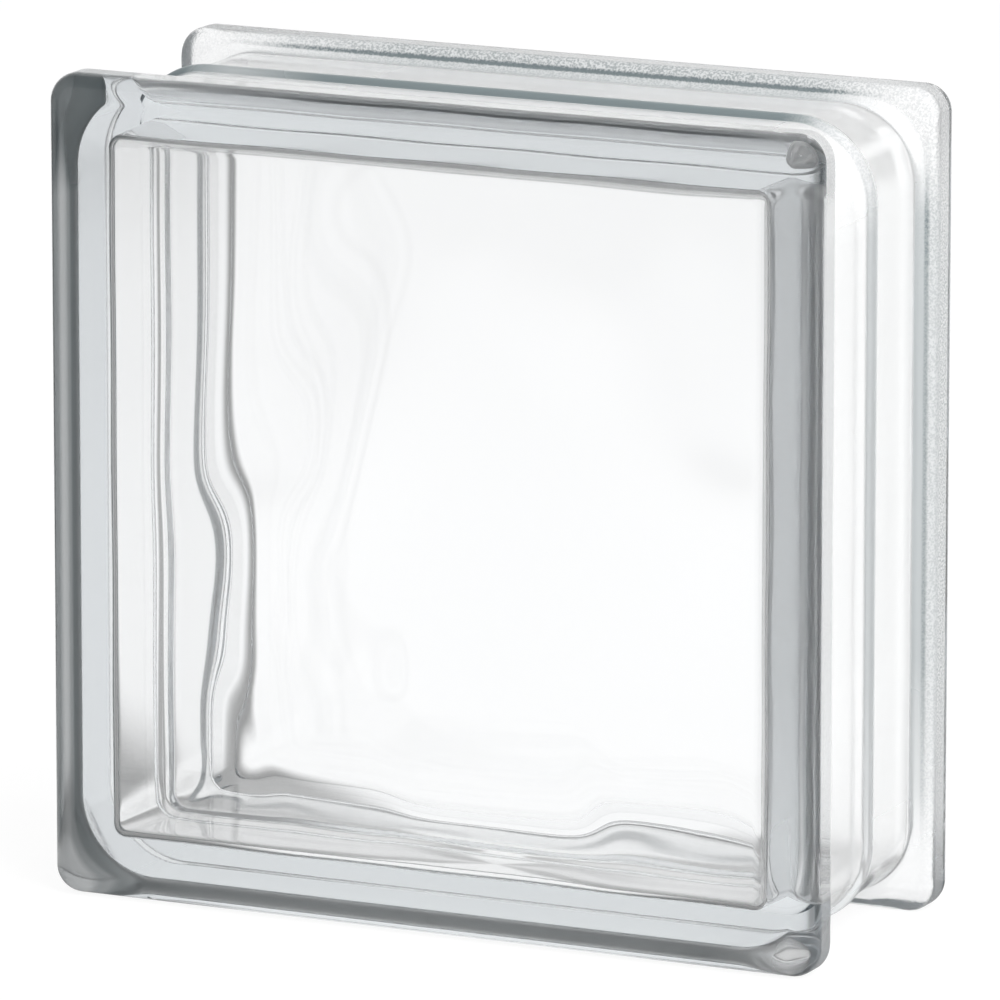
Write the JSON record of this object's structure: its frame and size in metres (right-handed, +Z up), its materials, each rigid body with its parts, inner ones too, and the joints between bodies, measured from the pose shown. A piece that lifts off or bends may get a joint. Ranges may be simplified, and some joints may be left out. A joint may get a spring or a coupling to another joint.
{
  "type": "glass block",
  "caption": "Square hollow glass block with wavy inner faces, rounded flanges and a mortar channel with a fused seam around its edge.",
  "frame": {"origin": "middle of the underside, on the plane of the two lower lands that the block stands on", "axes": "+X to the right across the front face, +Y from the front face to the back face, +Z up"},
  "size_m": [0.19, 0.08, 0.19],
  "materials": {
    "glass": "gloss"
  },
  "bodies": {
    "root": {"glass_block": "glass"}
  },
  "joints": []
}
